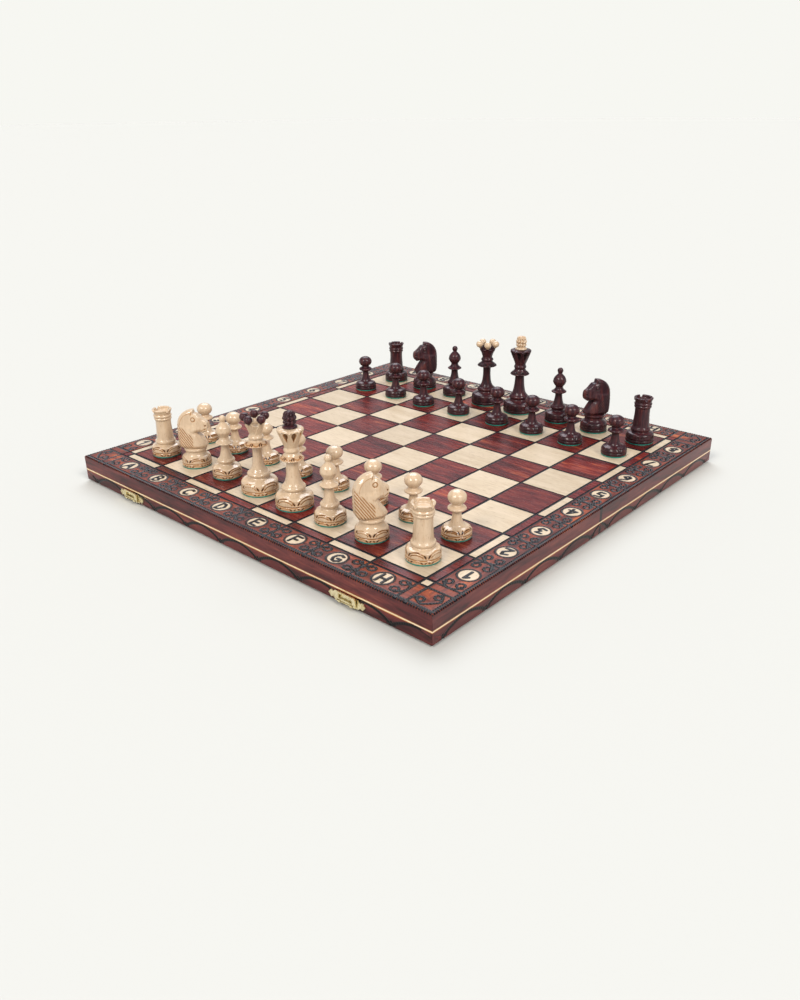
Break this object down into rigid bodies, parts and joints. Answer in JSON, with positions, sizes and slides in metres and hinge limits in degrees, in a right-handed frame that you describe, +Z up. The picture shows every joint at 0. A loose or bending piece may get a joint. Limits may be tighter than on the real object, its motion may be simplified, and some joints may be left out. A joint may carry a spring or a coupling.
{
  "type": "chess set with board",
  "caption": "Carved wooden chess pieces set out on a hinged folding board whose tray halves close into a storage box held by clasps.",
  "frame": {"origin": "centre of the open board at the level of its rims, where it stands on the table", "axes": "+X along the files from A to H, +Y along the ranks from 1 to 8, +Z up; the clasps are on the -Y side"},
  "size_m": [0.54, 0.5487, 0.1346],
  "materials": {
    "board_wood": "mahogany-stained wood, glossy lacquer, burnt carving",
    "light_stringing": "pale veneer strip, lacquered",
    "light_wood": "pale beech, turned and carved, satin lacquer",
    "dark_wood": "dark red-brown stained wood, glossy lacquer",
    "brass": "pale stamped brass",
    "felt": "green felt discs under the pieces"
  },
  "bodies": {
    "white_half": {"white_half_panel": "board_wood", "white_half_front_rail": "board_wood", "white_half_left_rail": "board_wood", "white_half_right_rail": "board_wood", "white_half_centre_rail": "board_wood", "white_half_stringing": "light_stringing", "left_hinge_white_leaf": "brass", "left_hinge_pin": "brass", "left_clasp_plate": "brass", "right_hinge_white_leaf": "brass", "right_hinge_pin": "brass", "right_clasp_plate": "brass"},
    "black_half": {"black_half_panel": "board_wood", "black_half_front_rail": "board_wood", "black_half_left_rail": "board_wood", "black_half_right_rail": "board_wood", "black_half_centre_rail": "board_wood", "black_half_stringing": "light_stringing", "left_hinge_black_leaf": "brass", "left_catch": "brass", "right_hinge_black_leaf": "brass", "right_catch": "brass"},
    "left_clasp_loop": {"left_clasp_loop": "brass"},
    "right_clasp_loop": {"right_clasp_loop": "brass"},
    "white_rook_a1": {"white_rook_a1": "light_wood"},
    "white_knight_b1": {"white_knight_b1": "light_wood"},
    "white_bishop_c1": {"white_bishop_c1": "light_wood"},
    "white_queen": {"white_queen": "light_wood", "white_queen_beads": "dark_wood"},
    "white_king": {"white_king": "light_wood", "white_king_finial": "dark_wood"},
    "white_bishop_f1": {"white_bishop_f1": "light_wood"},
    "white_knight_g1": {"white_knight_g1": "light_wood"},
    "white_rook_h1": {"white_rook_h1": "light_wood"},
    "white_pawn_a2": {"white_pawn_a2": "light_wood"},
    "white_pawn_b2": {"white_pawn_b2": "light_wood"},
    "white_pawn_c2": {"white_pawn_c2": "light_wood"},
    "white_pawn_d2": {"white_pawn_d2": "light_wood"},
    "white_pawn_e2": {"white_pawn_e2": "light_wood"},
    "white_pawn_f2": {"white_pawn_f2": "light_wood"},
    "white_pawn_g2": {"white_pawn_g2": "light_wood"},
    "white_pawn_h2": {"white_pawn_h2": "light_wood"},
    "black_rook_a8": {"black_rook_a8": "dark_wood"},
    "black_knight_b8": {"black_knight_b8": "dark_wood"},
    "black_bishop_c8": {"black_bishop_c8": "dark_wood"},
    "black_queen": {"black_queen": "dark_wood", "black_queen_beads": "light_wood"},
    "black_king": {"black_king": "dark_wood", "black_king_finial": "light_wood"},
    "black_bishop_f8": {"black_bishop_f8": "dark_wood"},
    "black_knight_g8": {"black_knight_g8": "dark_wood"},
    "black_rook_h8": {"black_rook_h8": "dark_wood"},
    "black_pawn_a7": {"black_pawn_a7": "dark_wood"},
    "black_pawn_b7": {"black_pawn_b7": "dark_wood"},
    "black_pawn_c7": {"black_pawn_c7": "dark_wood"},
    "black_pawn_d7": {"black_pawn_d7": "dark_wood"},
    "black_pawn_e7": {"black_pawn_e7": "dark_wood"},
    "black_pawn_f7": {"black_pawn_f7": "dark_wood"},
    "black_pawn_g7": {"black_pawn_g7": "dark_wood"},
    "black_pawn_h7": {"black_pawn_h7": "dark_wood"}
  },
  "joints": [
    {"name": "board_fold", "type": "hinge", "parent": "white_half", "child": "black_half", "pos_m": [0, 0, -0.00015], "axis": [-1, 0, 0], "range_deg": [0, 180]},
    {"name": "left_clasp_swing", "type": "hinge", "parent": "white_half", "child": "left_clasp_loop", "pos_m": [-0.172, -0.2726, 0.0024], "axis": [1, 0, 0], "range_deg": [0, 180]},
    {"name": "right_clasp_swing", "type": "hinge", "parent": "white_half", "child": "right_clasp_loop", "pos_m": [0.172, -0.2726, 0.0024], "axis": [1, 0, 0], "range_deg": [0, 180]},
    {"name": "lift_white_rook_a1", "type": "slide", "parent": "white_half", "child": "white_rook_a1", "axis": [0, 0, 1], "range_m": [0, 0.12]},
    {"name": "lift_white_knight_b1", "type": "slide", "parent": "white_half", "child": "white_knight_b1", "axis": [0, 0, 1], "range_m": [0, 0.12]},
    {"name": "lift_white_bishop_c1", "type": "slide", "parent": "white_half", "child": "white_bishop_c1", "axis": [0, 0, 1], "range_m": [0, 0.12]},
    {"name": "lift_white_queen", "type": "slide", "parent": "white_half", "child": "white_queen", "axis": [0, 0, 1], "range_m": [0, 0.12]},
    {"name": "lift_white_king", "type": "slide", "parent": "white_half", "child": "white_king", "axis": [0, 0, 1], "range_m": [0, 0.12]},
    {"name": "lift_white_bishop_f1", "type": "slide", "parent": "white_half", "child": "white_bishop_f1", "axis": [0, 0, 1], "range_m": [0, 0.12]},
    {"name": "lift_white_knight_g1", "type": "slide", "parent": "white_half", "child": "white_knight_g1", "axis": [0, 0, 1], "range_m": [0, 0.12]},
    {"name": "lift_white_rook_h1", "type": "slide", "parent": "white_half", "child": "white_rook_h1", "axis": [0, 0, 1], "range_m": [0, 0.12]},
    {"name": "lift_white_pawn_a2", "type": "slide", "parent": "white_half", "child": "white_pawn_a2", "axis": [0, 0, 1], "range_m": [0, 0.12]},
    {"name": "lift_white_pawn_b2", "type": "slide", "parent": "white_half", "child": "white_pawn_b2", "axis": [0, 0, 1], "range_m": [0, 0.12]},
    {"name": "lift_white_pawn_c2", "type": "slide", "parent": "white_half", "child": "white_pawn_c2", "axis": [0, 0, 1], "range_m": [0, 0.12]},
    {"name": "lift_white_pawn_d2", "type": "slide", "parent": "white_half", "child": "white_pawn_d2", "axis": [0, 0, 1], "range_m": [0, 0.12]},
    {"name": "lift_white_pawn_e2", "type": "slide", "parent": "white_half", "child": "white_pawn_e2", "axis": [0, 0, 1], "range_m": [0, 0.12]},
    {"name": "lift_white_pawn_f2", "type": "slide", "parent": "white_half", "child": "white_pawn_f2", "axis": [0, 0, 1], "range_m": [0, 0.12]},
    {"name": "lift_white_pawn_g2", "type": "slide", "parent": "white_half", "child": "white_pawn_g2", "axis": [0, 0, 1], "range_m": [0, 0.12]},
    {"name": "lift_white_pawn_h2", "type": "slide", "parent": "white_half", "child": "white_pawn_h2", "axis": [0, 0, 1], "range_m": [0, 0.12]},
    {"name": "lift_black_rook_a8", "type": "slide", "parent": "black_half", "child": "black_rook_a8", "axis": [0, 0, 1], "range_m": [0, 0.12]},
    {"name": "lift_black_knight_b8", "type": "slide", "parent": "black_half", "child": "black_knight_b8", "axis": [0, 0, 1], "range_m": [0, 0.12]},
    {"name": "lift_black_bishop_c8", "type": "slide", "parent": "black_half", "child": "black_bishop_c8", "axis": [0, 0, 1], "range_m": [0, 0.12]},
    {"name": "lift_black_queen", "type": "slide", "parent": "black_half", "child": "black_queen", "axis": [0, 0, 1], "range_m": [0, 0.12]},
    {"name": "lift_black_king", "type": "slide", "parent": "black_half", "child": "black_king", "axis": [0, 0, 1], "range_m": [0, 0.12]},
    {"name": "lift_black_bishop_f8", "type": "slide", "parent": "black_half", "child": "black_bishop_f8", "axis": [0, 0, 1], "range_m": [0, 0.12]},
    {"name": "lift_black_knight_g8", "type": "slide", "parent": "black_half", "child": "black_knight_g8", "axis": [0, 0, 1], "range_m": [0, 0.12]},
    {"name": "lift_black_rook_h8", "type": "slide", "parent": "black_half", "child": "black_rook_h8", "axis": [0, 0, 1], "range_m": [0, 0.12]},
    {"name": "lift_black_pawn_a7", "type": "slide", "parent": "black_half", "child": "black_pawn_a7", "axis": [0, 0, 1], "range_m": [0, 0.12]},
    {"name": "lift_black_pawn_b7", "type": "slide", "parent": "black_half", "child": "black_pawn_b7", "axis": [0, 0, 1], "range_m": [0, 0.12]},
    {"name": "lift_black_pawn_c7", "type": "slide", "parent": "black_half", "child": "black_pawn_c7", "axis": [0, 0, 1], "range_m": [0, 0.12]},
    {"name": "lift_black_pawn_d7", "type": "slide", "parent": "black_half", "child": "black_pawn_d7", "axis": [0, 0, 1], "range_m": [0, 0.12]},
    {"name": "lift_black_pawn_e7", "type": "slide", "parent": "black_half", "child": "black_pawn_e7", "axis": [0, 0, 1], "range_m": [0, 0.12]},
    {"name": "lift_black_pawn_f7", "type": "slide", "parent": "black_half", "child": "black_pawn_f7", "axis": [0, 0, 1], "range_m": [0, 0.12]},
    {"name": "lift_black_pawn_g7", "type": "slide", "parent": "black_half", "child": "black_pawn_g7", "axis": [0, 0, 1], "range_m": [0, 0.12]},
    {"name": "lift_black_pawn_h7", "type": "slide", "parent": "black_half", "child": "black_pawn_h7", "axis": [0, 0, 1], "range_m": [0, 0.12]}
  ]
}
